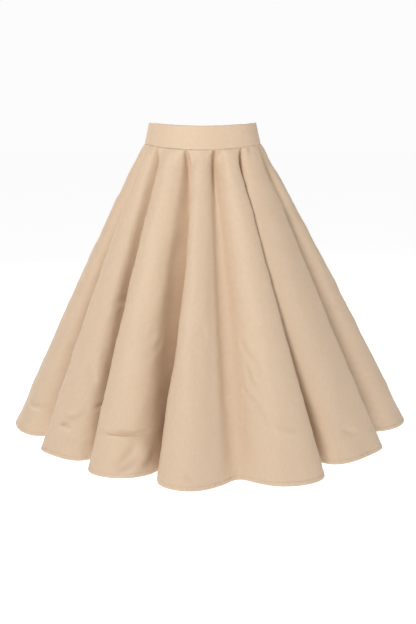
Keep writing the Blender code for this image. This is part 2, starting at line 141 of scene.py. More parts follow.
# Creases: turn and level of the middle, heading (0 across the cloth, 90 down it), length, width, height
# (below 0 for a trough) and bow, in metres apart from the heading in degrees
CREASE_ROWS = (
    (8.30, 0.494, -18, 0.062, 0.0050, -0.0013, 0.004),
    (6.75, 0.512, -10, 0.036, 0.0050, -0.0008, 0.002),
    (7.60, 0.530, -22, 0.040, 0.0045, -0.0006, 0.002),
    (3.60, 0.639, -13, 0.080, 0.0060, -0.0008, 0.004),
    (2.20, 0.691, -17, 0.034, 0.0050, -0.0007, 0.002),
    (3.60, 0.840, -13, 0.090, 0.0055, 0.0009, 0.004),
    (1.75, 0.901, 0, 0.059, 0.0050, 0.0011, 0.007),
    (6.55, 0.722, 66, 0.050, 0.0080, -0.0014, 0.003),
    (6.45, 0.855, -30, 0.046, 0.0046, -0.0017, 0.004),
    (8.40, 0.820, -19, 0.090, 0.0050, -0.0016, 0.006),
    (8.60, 0.836, -16, 0.080, 0.0046, 0.0012, 0.004),
    (6.16, 0.905, -4, 0.026, 0.0040, 0.0019, -0.003),
    (6.74, 0.926, -26, 0.036, 0.0050, -0.0009, 0.003),
    (11.45, 0.590, -24, 0.038, 0.0048, -0.0013, 0.002),
    (11.20, 0.572, -32, 0.026, 0.0044, -0.0008, 0.002),
    (11.70, 0.626, -30, 0.046, 0.0048, -0.0013, 0.003),
    (11.29, 0.870, 0, 0.100, 0.0036, -0.0022, 0.002),
    (11.30, 0.879, -2, 0.084, 0.0034, 0.0012, 0.002),
    (11.60, 0.962, -38, 0.070, 0.0120, 0.0030, 0.005),
    (11.35, 0.940, -57, 0.060, 0.0110, -0.0026, 0.004),
    (16.14, 0.962, 51, 0.018, 0.0040, -0.0012, 0.001),
    (16.51, 0.553, 81, 0.040, 0.0080, -0.0008, 0.002),
    (19.83, 0.622, 62, 0.048, 0.0055, -0.0012, 0.003),
    (20.19, 0.673, 76, 0.040, 0.0055, -0.0010, -0.002),
    (19.88, 0.699, 74, 0.048, 0.0055, -0.0013, 0.003),
    (19.60, 0.751, 47, 0.034, 0.0046, -0.0013, 0.002),
    (20.01, 0.794, 68, 0.050, 0.0055, -0.0012, -0.003),
    (20.80, 0.850, 20, 0.050, 0.0070, 0.0008, 0.004),
    (30.25, 0.423, 3, 0.036, 0.0042, 0.0012, 0.002),
    (30.10, 0.412, 24, 0.026, 0.0042, -0.0012, 0.002),
    (30.01, 0.546, 36, 0.022, 0.0042, -0.0014, 0.001),
    (30.18, 0.567, 32, 0.038, 0.0046, 0.0011, 0.004),
    (25.73, 0.906, 34, 0.030, 0.0060, -0.0011, 0.003),
    (4.08, 0.140, -12, 0.040, 0.0042, 0.0010, 0.003),
    (3.50, 0.225, 4, 0.034, 0.0042, 0.0008, 0.003),
    (35.20, 0.455, 20, 0.050, 0.0050, -0.0012, 0.004),
    (36.80, 0.800, -25, 0.070, 0.0052, -0.0015, 0.005),
    (40.60, 0.620, 30, 0.060, 0.0050, -0.0013, 0.003),
    (41.40, 0.880, 4, 0.085, 0.0042, -0.0018, 0.003),
    (45.10, 0.740, -35, 0.050, 0.0050, -0.0012, 0.004),
    (47.30, 0.520, 24, 0.046, 0.0048, -0.0011, 0.003),
    (51.00, 0.850, 28, 0.066, 0.0052, -0.0015, 0.005),
    (52.20, 0.600, -20, 0.050, 0.0050, -0.0012, 0.002),
    (56.40, 0.770, 18, 0.070, 0.0052, -0.0014, 0.004),
    (57.20, 0.420, -24, 0.040, 0.0048, -0.0010, 0.002),
)
CREASE_SCALE = 3.2  # of the heights in the rows
CREASE_REACH = 2  # a crease is worked out this many of its lengths away from its middle

# Soft ripples that run down the folds: turn, width (in controls), start and end level, height
RIPPLE_ROWS = (
    (1.3, 0.55, 0.15, 0.98, 0.0035),
    (2.7, 0.60, 0.15, 0.96, -0.0045),
    (6.0, 0.55, 0.12, 0.98, 0.0040),
    (7.5, 0.60, 0.15, 0.92, -0.0050),
    (10.8, 0.50, 0.12, 0.98, 0.0045),
    (12.3, 0.60, 0.15, 0.94, -0.0055),
    (15.7, 0.50, 0.12, 0.98, 0.0045),
    (18.3, 0.95, 0.10, 0.98, -0.0065),
    (16.9, 0.35, 0.35, 1.05, -0.0014),
    (20.9, 0.55, 0.12, 0.98, 0.0045),
    (22.3, 0.50, 0.20, 0.90, -0.0035),
    (25.8, 0.50, 0.12, 0.98, 0.0045),
    (27.3, 0.60, 0.15, 0.94, -0.0055),
    (30.9, 0.50, 0.15, 0.98, 0.0040),
    (32.2, 0.60, 0.20, 0.94, -0.0045),
    (35.8, 0.55, 0.15, 0.96, 0.0040),
    (37.3, 0.60, 0.20, 0.90, -0.0045),
    (40.8, 0.50, 0.15, 0.98, 0.0040),
    (42.3, 0.60, 0.20, 0.94, -0.0045),
    (45.2, 0.50, 0.30, 0.95, 0.0030),
    (47.2, 0.50, 0.30, 0.95, -0.0040),
    (50.9, 0.55, 0.15, 0.98, 0.0040),
    (52.4, 0.60, 0.20, 0.92, -0.0045),
    (55.8, 0.50, 0.15, 0.96, 0.0040),
    (57.3, 0.60, 0.20, 0.94, -0.0045),
)
VALLEY_SCALE = 1.9  # of the heights in the rows, for ripples that go inwards
RIPPLE_FULL_LEVEL = 0.5  # a ripple is at its full height from here down

# Tucks that the waist seam holds: turn, run down the skirt in metres, width in metres, depth
TUCK_ROWS = (
    (3.5, 0.060, 0.0050, 0.0030),
    (5.1, 0.028, 0.0032, 0.0014),
    (8.5, 0.065, 0.0048, 0.0034),
    (10.2, 0.026, 0.0032, 0.0014),
    (13.5, 0.075, 0.0048, 0.0040),
    (15.4, 0.034, 0.0034, 0.0020),
    (18.3, 0.095, 0.0052, 0.0048),
    (19.9, 0.030, 0.0034, 0.0020),
    (23.5, 0.075, 0.0048, 0.0040),
    (25.6, 0.030, 0.0034, 0.0018),
    (28.5, 0.060, 0.0048, 0.0032),
    (30.4, 0.026, 0.0032, 0.0014),
    (33.5, 0.060, 0.0048, 0.0030),
    (38.5, 0.065, 0.0048, 0.0034),
    (41.0, 0.026, 0.0032, 0.0014),
    (43.5, 0.060, 0.0048, 0.0030),
    (48.5, 0.060, 0.0048, 0.0030),
    (50.6, 0.028, 0.0032, 0.0014),
    (53.5, 0.065, 0.0048, 0.0034),
    (58.5, 0.060, 0.0048, 0.0030),
)
TUCK_START = 0.0020  # metres under the seam within which a tuck comes to its depth
TUCK_SCALE = 1.4  # of the depths in the rows

# Small unevenness of the cloth, as waves on its flat cut
UNEVEN_SEED = 11
UNEVEN_WAVES = 14
UNEVEN_LONGEST = 0.110
UNEVEN_SHORTEST = 0.018
UNEVEN_BEND = 1.2  # how far a wave's crests wander, in radians
UNEVEN_HEIGHT = 0.00034  # of a wave at the longest length; shorter waves are lower in proportion

# Where the relief fades in under the waist seam, as a share of the skirt, and how much of it the band has
RELIEF_FADE = 0.03
BAND_RELIEF_SHARE = 0.5

# Weave and its colour: scales of the soft mottling and of the slubs, and the part of the mix that shows
CLOTH_THREAD_PITCH = 0.00032
TAPE_THREAD_PITCH = 0.0006
WAVE_NODE_FACTOR = 20  # the wave texture multiplies its scale by this
CLOUD_SCALE = 90.0
SLUB_SHARE = 0.5
SLUB_SCALE = (60.0, 900.0, 1.0)
SHADE_RANGE = (0.45, 1.0)
CLOTH_SHADES = (0.97, 1.03)  # of the colour, at the dark and the light end of the mottling
CLOTH_ROUGHNESS = 0.52
CLOTH_SHEEN = 0.06
TAPE_ROUGHNESS = 0.75
TAPE_SHEEN = 0.05
CLOTH_SPECULAR = 0.28
SHEEN_ROUGHNESS = 0.45
SHEEN_TINT = (1.0, 0.93, 0.84, 1.0)
SOFT_BUMP = {"Strength": 0.20, "Distance": 0.00015}
WEAVE_BUMP = {"Strength": 0.25, "Distance": 0.00006}

# Sewing thread and painted metal
THREAD_GRAIN = 400.0
THREAD_SHADES = (0.88, 1.1)
METAL_GRAIN = 900.0
METAL_SHADES = (0.9, 1.08)
METAL_ROUGHNESS = (0.28, 0.42)
METAL_BUMP = {"Strength": 0.15, "Distance": 0.00003}

# Hem: stitched turn with small puckers
PUCKER_LENGTH = 0.0135
PUCKER_HEIGHT = 0.00050
PUCKER_REACH = 0.009
PUCKER_WANDER = ((1.5, 0.7), (1.1, 1.9))  # how far their spacing strays, in radians, and how fast
CONTROL_AT_HEM = 0.0833  # metres along the hem from control to control

# Edges, in metres
SHARP_DEG = 55  # edges that bend more than this are drawn sharp
EDGE_GROOVE = 0.0006  # how deep the cloth turns in at a seam
EDGE_REACH = 0.0009
TOP_ROUND = 0.0007
HEM_LAP = 0.0016  # the hem's turn starts this far above the stitch line, under the panel
SIDE_COLUMNS = (0.0, 0.0004, 0.0009, 0.0016, 0.0028)  # distances from an edge of its closer columns

# Sewing: hem stitches, and the allowances pressed open inside the seams
STITCH_PITCH = 0.0028
STITCH_LENGTH = 0.0020
STITCH_RADIUS = 0.00018
STITCH_RINGS = ((0.0, 0.35), (0.18, 1.0), (0.82, 1.0), (1.0, 0.35))  # shares of the length and the radius
STITCH_SIDES = 6
STITCH_ABOVE_EDGE = 0.0006
ALLOWANCE = 0.011
ALLOWANCE_CLOTH = 0.0007
ALLOWANCE_EDGE = 0.0006
ALLOWANCE_ROWS = 90
ALLOWANCE_COLUMNS = 13
ALLOWANCE_TOP_LEVEL = 0.006
ALLOWANCE_ZIP_LEVEL = 0.27  # where the centre back's allowances start, under the zip
ALLOWANCE_END_LEVEL = 0.985

# Zip, at the centre back: the notch in the band, and the coil of its teeth
NOTCH_WIDTH = 0.0030
NOTCH_LEVEL = -0.70
ZIP_TOP_LEVEL = -0.75
ZIP_END_LEVEL = 0.225
COIL_PITCH = 0.0013
COIL_WIRE = 0.00026
COIL_OUT = 0.00062  # half the coil's height
COIL_MIDDLE = 0.00078  # each coil's middle lies this far from the centre back
COIL_REACH = 0.00046
COIL_STEPS = 12
COIL_PATH_POINTS = 200
COIL_SIDES = 6

# Grids
FRONT_COLUMNS = 366
SKIRT_ROWS = 124
ROW_EASE = 0.07  # how much closer together a panel's rows are at its two ends
BAND_ROWS = 18
BAND_COLUMNS_PER_CONTROL = 6
HEM_COLUMNS_PER_CONTROL = 40
HEM_DROPS = (0.0, 0.15, 0.35, 0.65, 0.88, 1.0)
HEM_ROUNDING = (0.0008, 0.00035, 0.0, -0.0001, 0.0001, 0.0005)  # in from the face, at each drop
HEM_ROUNDING_INSIDE = (0.0003, 0.0, 0.0, 0.0, 0.0002, 0.0006)
BAND_ROUND_STEPS = (0.0, 0.0003, 0.0007, 0.0012)
BAND_PLAIN_SHARE = 0.06  # of the band's height, from an edge to its first plain row

# Small steps along and down the cloth, for its normals and its lengths
TURN_STEP = 0.01
LEVEL_STEP = 0.002
JUST_UNDER_SEAM = 1e-6

# Camera and light
CAMERA_PLACE = (0.0117, -1.90, 0.0)
CAMERA_PITCH_DEG = 12.51
CAMERA_LENS = 49.27
FLOOR_LEVEL = -1.05
FLOOR_SIZE = 60.0
SWEEP_STRENGTH = 0.97  # the studio's pale walls, near the horizon
CEILING_STRENGTH = 0.05
SWEEP_TOP = 0.14  # sines of the elevations where the walls end and the dim ceiling starts
CEILING_START = 0.25
FLOOR_GLOW = 0.93
FRONT_GLOW = 0.60  # the floor before the skirt is dimmer, so that little light comes up into the folds
GLOW_START = -0.32  # where the floor's glow starts to fall, and where it has fallen, along Y
GLOW_END = -2.20
LIGHT_ROWS = (  # name, place, size, power
    ("key", (-1.20, -2.38, 1.75), 0.8, 69.0),
    ("fill_left", (-2.81, -1.02, 1.01), 1.4, 3.0),
    ("fill_right", (2.59, -1.50, 1.01), 1.2, 22.0),
    ("back", (-1.00, 2.60, 1.75), 0.8, 70.0),
)
LIGHT_AIM = (0.0, 0.0, -0.38)

CLOTH_COLOUR = (0.675, 0.508, 0.360)
THREAD_COLOUR = (0.60, 0.46, 0.33)
TAPE_COLOUR = (0.58, 0.45, 0.32)
METAL_COLOUR = (0.60, 0.46, 0.32)
FLOOR_COLOUR = (0.40, 0.40, 0.40)
FLOOR_ROUGHNESS = 0.9
WHITE = (1.0, 1.0, 1.0, 1.0)


# Form of the cloth
def closed_spline(controls, turns):
    """Even cubic B-spline round a closed row of controls; turns count along them."""
    base = np.floor(turns).astype(int)
    t = (turns - base)[..., None]
    before, here, ahead, beyond = (controls[(base + step) % len(controls)] for step in (-1, 0, 1, 2))
    return (
        (1 - t) ** 3 * before
        + (3 * t ** 3 - 6 * t ** 2 + 4) * here
        + (-3 * t ** 3 + 3 * t ** 2 + 3 * t + 1) * ahead
        + t ** 3 * beyond
    ) / 6


def hem_controls():
    """The hem's plan: rise, crest, fall and the two sides of the trough for each fold."""
    half_trough = FOLDS["trough_width"] / 2
    degrees = np.stack([
        FOLDS["rise_deg"], FOLDS["crest_deg"], FOLDS["fall_deg"],
        FOLDS["trough_deg"] - half_trough, FOLDS["trough_deg"] + half_trough,
    ], axis=1).ravel()
    radii = np.stack([
        FOLDS["rise_radius"], FOLDS["crest_radius"], FOLDS["fall_radius"],
        FOLDS["trough_radius"], FOLDS["trough_radius"],
    ], axis=1).ravel()
    angles = np.radians(degrees)
    return np.stack([radii * np.sin(angles), -radii * np.cos(angles)], axis=1)


def seam_controls():
    """Where each control of the hem starts at the seam, in degrees beyond an even spacing."""
    crest = FOLDS["seam_crest"]
    trough = FOLDS["seam_trough"]
    before = np.roll(trough, 1)
    before[0] -= 360.0
    half_trough = SEAM_TROUGH_WIDTH / 2
    degrees = np.stack([
        before + SHOULDER_SHARE * (crest - before), crest, trough - SHOULDER_SHARE * (trough - crest),
        trough - half_trough, trough + half_trough,
    ], axis=1).ravel()
    return (degrees - 360.0 * np.arange(CONTROLS) / CONTROLS)[:, None]


def sway_controls():
    """How far each control swings round the skirt, in degrees: a trough and the rise after it."""
    sway = FOLDS["sway_deg"]
    still = np.zeros_like(sway)
    return np.stack([np.roll(sway, 1), still, still, sway, sway], axis=1).ravel()[:, None]


def hollow_controls():
    """How hollow the upper skirt is at each control, from its crests to its troughs."""
    return np.tile(HOLLOW_SHARES, len(FOLD_ROWS))[:, None]


HEM_PLAN = hem_controls()
SEAM_PLAN = seam_controls()
SWAY_PLAN = sway_controls()
HOLLOW_PLAN = hollow_controls()


def seam_angles(turns):
    return np.radians(closed_spline(SEAM_PLAN, turns)[..., 0] + 360.0 * turns / CONTROLS)


def ellipse(angles, half_width, half_depth):
    return np.stack([half_width * np.sin(angles), -half_depth * np.cos(angles)], axis=-1)


def gathers(angles, drop):
    """Short tucks just under the seam, as depths below the smooth cloth."""
    degrees = np.degrees(angles)
    depth = np.zeros_like(degrees)
    for seam_deg, tuck, width_deg, run in GATHER_ROWS:
        away = (degrees - seam_deg + 180.0) % 360.0 - 180.0
        depth += tuck * np.exp(-(away / width_deg) ** 2 - (drop / run) ** 2)
    return depth * (1 - np.exp(-(drop / GATHER_START) ** 2))


def smooth_points(turns, levels):
    """The garment's outer face: the band above level 0, and the folded skirt under it."""
    turns, levels = np.broadcast_arrays(np.asarray(turns, float), np.asarray(levels, float))
    angles = seam_angles(turns)
    drop = np.clip(levels, 0.0, None)
    rise = np.clip(-levels, 0.0, None)
    seam = ellipse(angles, SEAM_HALF_WIDTH, SEAM_HALF_DEPTH)
    waist = ellipse(angles, WAIST_HALF_WIDTH, WAIST_HALF_DEPTH)
    hem = closed_spline(HEM_PLAN, turns)
    outward = seam / np.linalg.norm(seam, axis=-1, keepdims=True)
    bulge = (BULGE - BULGE_LEAN * np.sin(angles)) * (1 - np.exp(-drop / BULGE_RISE)) * (1 - drop)
    come = 1 - np.exp(-(drop / HOLLOW_RISE) ** 2)
    go = np.exp(-drop / HOLLOW_FADE) * (1 - drop)
    hollow = HOLLOW_DEPTH * closed_spline(HOLLOW_PLAN, turns)[..., 0] * come * go
    swell = np.where(levels > 0, bulge - hollow - gathers(angles, drop), 0.0)
    plan = seam + (waist - seam) * rise[..., None] + (hem - seam) * drop[..., None]
    plan = plan + outward * swell[..., None]
    sway = np.radians(closed_spline(SWAY_PLAN, turns)[..., 0]) * SWAY_SCALE * drop * (1 - drop) ** 2
    plan = np.stack([
        plan[..., 0] * np.cos(sway) - plan[..., 1] * np.sin(sway),
        plan[..., 0] * np.sin(sway) + plan[..., 1] * np.cos(sway),
    ], axis=-1)
    dip = np.cos(angles) ** 2
    seam_z = -BAND_HEIGHT - SEAM_DIP * dip
    top_z = -TOP_DIP * dip
    height = seam_z + (top_z - seam_z) * rise + (HEM_LEVEL - seam_z) * drop
    return np.concatenate([plan, height[..., None]], axis=-1)


def smooth_normals(turns, levels):
    """Unit normals of the outer face, pointing outwards; no difference is taken across the seam."""
    turns, levels = np.broadcast_arrays(np.asarray(turns, float), np.asarray(levels, float))
    above = levels - LEVEL_STEP
    below = levels + LEVEL_STEP
    low = np.where(levels > 0, np.maximum(above, JUST_UNDER_SEAM), above)
    high = np.where(levels > 0, below, np.minimum(below, 0.0))
    along = smooth_points(turns + TURN_STEP, levels) - smooth_points(turns - TURN_STEP, levels)
    down = smooth_points(turns, high) - smooth_points(turns, low)
    normal = np.cross(down, along)
    return normal / np.linalg.norm(normal, axis=-1, keepdims=True)


def speed_along(turn, levels):
    """Metres of cloth for each control, round the skirt."""
    ahead = smooth_points(turn + TURN_STEP, levels)
    behind = smooth_points(turn - TURN_STEP, levels)
    return np.linalg.norm(ahead - behind, axis=-1) / (2 * TURN_STEP)


def speed_down(turn, level):
    """Metres of cloth for each level, down the skirt."""
    above = smooth_points(turn, level - LEVEL_STEP)
    below = smooth_points(turn, level + LEVEL_STEP)
    return float(np.linalg.norm(below - above)) / (2 * LEVEL_STEP)


def flat_places(turns, levels):
    """Where a point of the skirt lies on its flat cut, in metres; the band is a straight strip."""
    turns, levels = np.broadcast_arrays(turns, levels)
    angles = seam_angles(turns)
    radius = CUT_INNER_RADIUS + CUT_LENGTH * np.clip(levels, 0.0, None)
    skirt = np.stack([radius * np.sin(angles), -radius * np.cos(angles)], axis=-1)
    band = np.stack([CUT_INNER_RADIUS * angles, -BAND_HEIGHT * levels], axis=-1)
    return np.where((levels > 0)[..., None], skirt, band)


# Relief of the cloth
def creases(turns, levels):
    """Short soft folds and troughs, as listed."""
    height = np.zeros(turns.shape)
    for turn, level, heading, length, width, crest, bow in CREASE_ROWS:
        across = (turns - turn) * float(speed_along(turn, level))
        down = (levels - level) * speed_down(turn, level)
        near = np.maximum(abs(across), abs(down)) < CREASE_REACH * length
        cos, sin = math.cos(math.radians(heading)), math.sin(math.radians(heading))
        along = (across[near] * cos + down[near] * sin) / (length / 2)
        aside = (down[near] * cos - across[near] * sin + bow * (along ** 2 - 0.5)) / width
        height[near] += CREASE_SCALE * crest * np.exp(-aside ** 2 - along ** 4)
    return height


def ripples(turns, levels):
    """Long soft ridges and valleys that run down the folds."""
    height = np.zeros(turns.shape)
    for turn, width, start, end, crest in RIPPLE_ROWS:
        middle, half = (start + end) / 2, (end - start) / 2
        height += crest * np.exp(-((turns - turn) / width) ** 2 - ((levels - middle) / half) ** 4)
    return np.where(height < 0, VALLEY_SCALE, 1.0) * height * np.clip(levels / RIPPLE_FULL_LEVEL, 0.0, 1.0)


def tucks(turns, levels):
    """Narrow wedges that start at the waist seam and run out down the skirt."""
    down = np.clip(levels, 0.0, None) * CUT_LENGTH
    depth = np.zeros(turns.shape)
    for turn, run, width, deepest in TUCK_ROWS:
        across = (turns - turn) * CUT_INNER_RADIUS * 2 * math.pi / CONTROLS * (1 + down / CUT_INNER_RADIUS)
        spread = width * (1 + down / run)
        depth += TUCK_SCALE * deepest * np.exp(-(across / spread) ** 2 - (down / run) ** 2)
    return -depth * (1 - np.exp(-(down / TUCK_START) ** 2))


def unevenness(places):
    """A sum of gentle waves in many directions, the shorter the lower."""
    chance = np.random.default_rng(UNEVEN_SEED)
    height = np.zeros(places.shape[:-1])
    for share in np.linspace(0.0, 1.0, UNEVEN_WAVES):
        length = UNEVEN_LONGEST * (UNEVEN_SHORTEST / UNEVEN_LONGEST) ** share
        heading = chance.uniform(0.0, math.pi)
        phase = chance.uniform(0.0, 2 * math.pi)
        bend = chance.uniform(0.0, 2 * math.pi)
        across = places[..., 0] * math.cos(heading) + places[..., 1] * math.sin(heading)
        aside = places[..., 1] * math.cos(heading) - places[..., 0] * math.sin(heading)
        wave = np.sin(2 * math.pi * across / length + phase + UNEVEN_BEND * np.sin(aside / length + bend))
        height += UNEVEN_HEIGHT * length / UNEVEN_LONGEST * wave
    return height


def puckers(turns, levels):
    """Small waves where the hem's turn is stitched down."""
    away = (1 - levels) * CUT_LENGTH / PUCKER_REACH
    spot = turns * CONTROL_AT_HEM / PUCKER_LENGTH
    stray = sum(reach * np.sin(spot * pace) for reach, pace in PUCKER_WANDER)
    wave = np.sin(2 * math.pi * spot + stray)
    return PUCKER_HEIGHT * wave * np.exp(-away ** 2)


def relief(turns, levels):
    """How far the cloth stands out from its smooth face."""
    turns, levels = np.broadcast_arrays(turns, levels)
    height = unevenness(flat_places(turns, levels))
    fade = 1 - np.exp(-(np.clip(levels, 0.0, None) / RELIEF_FADE) ** 2)
    skirt = (creases(turns, levels) + ripples(turns, levels) + puckers(turns, levels) + height) * fade
    return np.where(levels > 0, skirt + tucks(turns, levels), BAND_RELIEF_SHARE * height)


# Meshes
def piece_of(name, points, faces, places, made_of, body="garment", slot="skirt_cloth"):
    """A smooth object from its points and faces; places are its points on the flat cut."""
    mesh = bpy.data.meshes.new(name)
    mesh.from_pydata(points.tolist(), [], faces)
    mesh.materials.append(made_of)
    mesh.polygons.foreach_set("use_smooth", [True] * len(mesh.polygons))
    mesh.set_sharp_from_angle(angle=math.radians(SHARP_DEG))
    if places is not None:
        corners = np.zeros(len(mesh.loops), dtype=np.int32)
        mesh.loops.foreach_get("vertex_index", corners)
        mesh.uv_layers.new(name="flat_cut").data.foreach_set("uv", places[corners].ravel())
    item = bpy.data.objects.new(name, mesh)
    bpy.context.scene.collection.objects.link(item)
    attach(item, body)
    return item


def shell_faces(rows, columns):
    """Quads of a closed shell: an outer grid, then an inner one, and the rim between them."""
    grid = np.arange(rows * columns).reshape(rows, columns)
    under = grid + rows * columns

    def quads(a, b, c, d):
        return np.stack([a.ravel(), b.ravel(), c.ravel(), d.ravel()], axis=1)

    return np.concatenate([
        quads(grid[:-1, :-1], grid[1:, :-1], grid[1:, 1:], grid[:-1, 1:]),
        quads(under[:-1, :-1], under[:-1, 1:], under[1:, 1:], under[1:, :-1]),
        quads(grid[:-1, 0], under[:-1, 0], under[1:, 0], grid[1:, 0]),
        quads(grid[:-1, -1], grid[1:, -1], under[1:, -1], under[:-1, -1]),
        quads(grid[0, :-1], grid[0, 1:], under[0, 1:], under[0, :-1]),
        quads(grid[-1, :-1], under[-1, :-1], under[-1, 1:], grid[-1, 1:]),
    ]).tolist()


def cloth_shell(name, turns, levels, outer_depth, inner_depth, made_of, **piece_words):
    """A closed shell between two depths under the cloth's face; turns has a row for each level."""
    turns, levels, outer_depth, inner_depth = np.broadcast_arrays(
        turns, np.asarray(levels, float)[:, None], outer_depth, inner_depth)
    face = smooth_points(turns, levels)
    normals = smooth_normals(turns, levels)
    stands = relief(turns, levels)
    sheets = [face + normals * (stands - depth)[..., None] for depth in (outer_depth, inner_depth)]
    points = np.concatenate([sheet.reshape(-1, 3) for sheet in sheets])
    places = flat_places(turns, levels).reshape(-1, 2)
    places = np.concatenate([places, places])
    return piece_of(name, points, shell_faces(*turns.shape), places, made_of, **piece_words)


def panel_turns(first, last, levels, columns):
    """Turns of the columns at each level, closer together at the edges, and their distance from an edge."""
    levels = np.asarray(levels, float)
    first_speed = speed_along(first, levels)
    last_speed = speed_along(last, levels)
    near = np.array(SIDE_COLUMNS)
    start = first + (HALF_GAP + near[:, None]) / first_speed
    end = last - (HALF_GAP + near[::-1, None]) / last_speed
    share = np.linspace(0.0, 1.0, columns)[1:-1, None]
    middle = start[-1] + (end[0] - start[-1]) * share
    turns = np.concatenate([start, middle, end]).T
    from_first = (turns - start[0][:, None]) * first_speed[:, None]
    from_last = (end[-1][:, None] - turns) * last_speed[:, None]
    return turns, np.minimum(from_first, from_last)


def edge_depth(distance):
    """How far the face turns in near a seam."""
    return EDGE_GROOVE * np.exp(-(distance / EDGE_REACH) ** 2)


def skirt_levels():
    """Rows of a panel, closer together at the waist seam and at the hem."""
    top = SEAM_GAP / CUT_LENGTH
    bottom = 1 - HEM_TURN_SHARE
    share = np.linspace(0.0, 1.0, SKIRT_ROWS)
    eased = share - ROW_EASE * np.sin(2 * math.pi * share)
    levels = top + (bottom - top) * eased
    close = top + np.array(SIDE_COLUMNS[1:]) / CUT_LENGTH
    return np.concatenate([levels[:1], close, levels[levels > close[-1] + JUST_UNDER_SEAM]])


def skirt_panel(name, node, first, last, columns, made_of):
    """A panel with its stitched hem."""
    levels = skirt_levels()
    turns, distance = panel_turns(first, last, levels, columns)
    from_top = (levels - levels[0])[:, None] * CUT_LENGTH
    depth = edge_depth(distance) + edge_depth(from_top)
    panel = cloth_shell(name, turns, levels, depth, SKIRT_CLOTH, made_of)
    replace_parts(panel, node)
    hem = hem_turn("hem_" + name, first, last, made_of)
    thread = hem_stitches("hem_stitches_" + name, first, last)


def hem_turn(name, first, last, made_of):
    """The turned-up edge, doubled, with the puckers that its stitching draws in."""
    top = 1 - HEM_TURN_SHARE - HEM_LAP / CUT_LENGTH
    levels = top + (1 - top) * np.array(HEM_DROPS)
    count = int((last - first) * HEM_COLUMNS_PER_CONTROL)
    gap = HALF_GAP / float(speed_along(first, 1.0))
    turns = np.linspace(first + gap, last - gap, count)[None, :]
    outer = np.array(HEM_ROUNDING)[:, None]
    inner = HEM_CLOTH - np.array(HEM_ROUNDING_INSIDE)[:, None]
    turns = np.repeat(turns, len(levels), axis=0)
    return cloth_shell(name, turns, levels, outer, inner, made_of)


def stitch_mesh(name, starts, ends, outs, made_of):
    """A row of short rounded stitches, each a capsule that lies between two points."""
    run = ends - starts
    across = np.cross(run, outs)
    across /= np.linalg.norm(across, axis=1, keepdims=True)
    angles = 2 * math.pi * np.arange(STITCH_SIDES) / STITCH_SIDES
    points = np.stack([
        starts + run * share + (across * math.cos(angle) + outs * math.sin(angle)) * STITCH_RADIUS * swell
        for share, swell in STITCH_RINGS for angle in angles
    ], axis=1)
    faces = []
    for ring in range(len(STITCH_RINGS) - 1):
        here = ring * STITCH_SIDES
        below = here + STITCH_SIDES
        for k in range(STITCH_SIDES):
            ahead = (k + 1) % STITCH_SIDES
            faces.append((here + k, below + k, below + ahead, here + ahead))
    points_each = len(STITCH_RINGS) * STITCH_SIDES
    faces.append(tuple(range(STITCH_SIDES)))
    faces.append(tuple(reversed(range(points_each - STITCH_SIDES, points_each))))
    every = [tuple(corner + stitch * points_each for corner in face)
             for stitch in range(len(starts)) for face in faces]
    return piece_of(name, points.reshape(-1, 3), every, None, made_of)


def face_line(turns, level):
    """Points of the cloth's own face along one level, and its normals."""
    levels = np.full_like(turns, level)
    normals = smooth_normals(turns, levels)
    return smooth_points(turns, levels) + normals * relief(turns, levels)[:, None], normals


def hem_stitches(name, first, last):
    """The stitches that hold the hem's turn, just above its edge."""
    pitch = STITCH_PITCH / CONTROL_AT_HEM
    starts = np.arange(first + pitch, last - pitch, pitch)
    length = STITCH_LENGTH / CONTROL_AT_HEM
    level = 1 - HEM_TURN_SHARE + STITCH_ABOVE_EDGE / CUT_LENGTH
    start, outs = face_line(starts, level)
    end, _ = face_line(starts + length, level)
    return stitch_mesh(name, start, end, outs, THREAD)


def band_piece(name, node, first, last, made_of):
    """A piece of the waistband, with rounded top and bottom edges."""
    steps = np.array(BAND_ROUND_STEPS) / BAND_HEIGHT
    plain = np.linspace(-1 + BAND_PLAIN_SHARE, -BAND_PLAIN_SHARE, BAND_ROWS)
    levels = np.concatenate([-1 + steps, plain, -steps[::-1]])
    columns = int((last - first) * BAND_COLUMNS_PER_CONTROL)
    turns, distance = panel_turns(first, last, levels, columns)
    turns = notched(turns, levels, first, last)
    from_edge = np.minimum(levels + 1, -levels)[:, None] * BAND_HEIGHT
    round_in = TOP_ROUND * np.clip(1 - from_edge / BAND_ROUND_STEPS[-1], 0.0, 1.0) ** 2
    depth = round_in + edge_depth(distance)
    piece = cloth_shell(name, turns, levels, depth, BAND_CLOTH - round_in, made_of)
    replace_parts(piece, node)


def notched(turns, levels, first, last):
    """Opens a band's edge at the centre back into a notch round the slider's neck."""
    part = np.clip((NOTCH_LEVEL - levels) / (1 + NOTCH_LEVEL), 0.0, 1.0)
    inset = (NOTCH_WIDTH - SEAM_GAP) / 2 * part / speed_along(CENTRE_BACK, levels)
    span = turns[:, -1:] - turns[:, :1]
    share = (turns - turns[:, :1]) / span
    if last == CENTRE_BACK:
        turns = turns - inset[:, None] * share
    if first == CENTRE_BACK:
        turns = turns + inset[:, None] * (1 - share)
    return turns


def under_wall(levels):
    """The depth just inside the wall, which is thicker in the band than in the skirt."""
    return np.where(levels > 0, SKIRT_CLOTH, BAND_CLOTH) + SEAM_GAP


